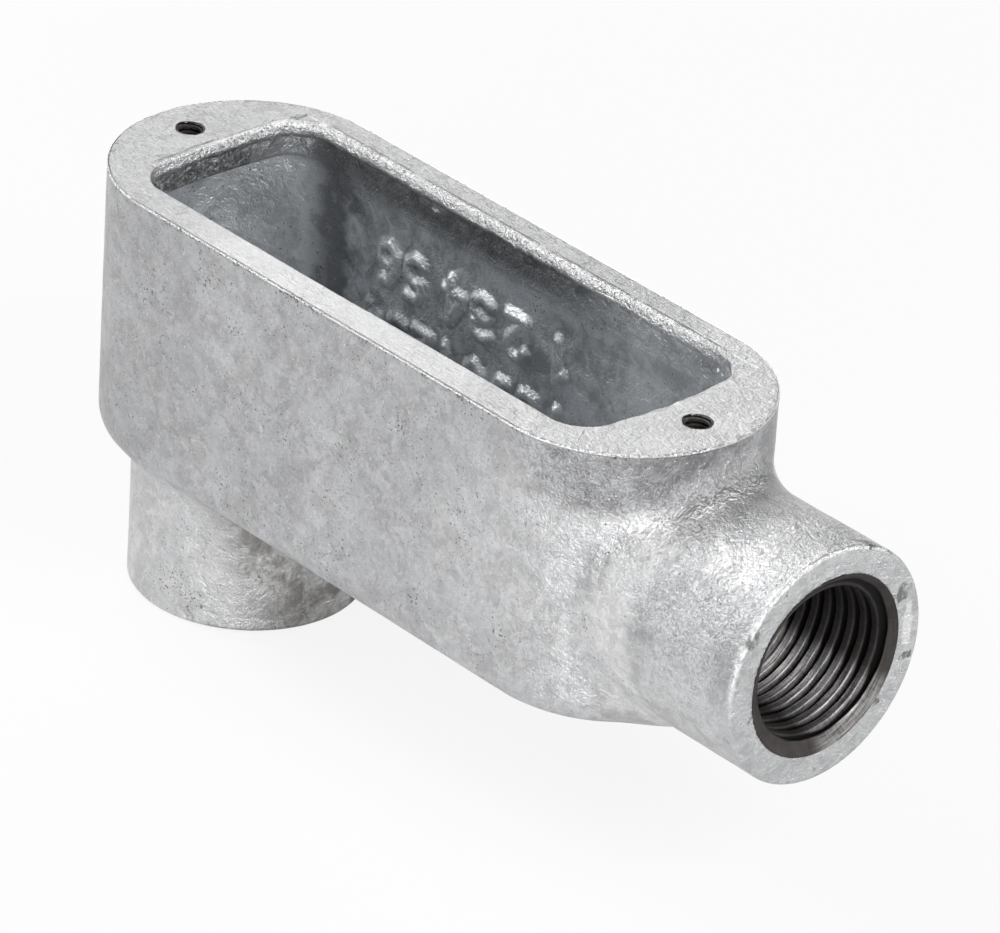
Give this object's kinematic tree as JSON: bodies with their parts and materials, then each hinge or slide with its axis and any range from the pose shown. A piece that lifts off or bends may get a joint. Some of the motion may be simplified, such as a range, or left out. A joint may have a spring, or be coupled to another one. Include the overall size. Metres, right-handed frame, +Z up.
{
  "type": "conduit body",
  "caption": "Cast conduit body: a deep trough with a screw-down cover opening on top, a threaded hub out of its back near one end and another straight out of the far end.",
  "frame": {"origin": "on the back hub's axis at the plane where its pipe thread starts, 1.5 mm inside the hub's mouth", "axes": "+Z up along the back hub's axis, towards the cover opening; +X towards the mouth of the end hub; the XZ plane is the plane of symmetry"},
  "size_m": [0.1154, 0.0342, 0.0538],
  "materials": {
    "zinc_coated_iron": "hot-dip galvanized, satin, slightly mottled"
  },
  "bodies": {
    "root": {"conduit_body": "zinc_coated_iron"}
  },
  "joints": []
}
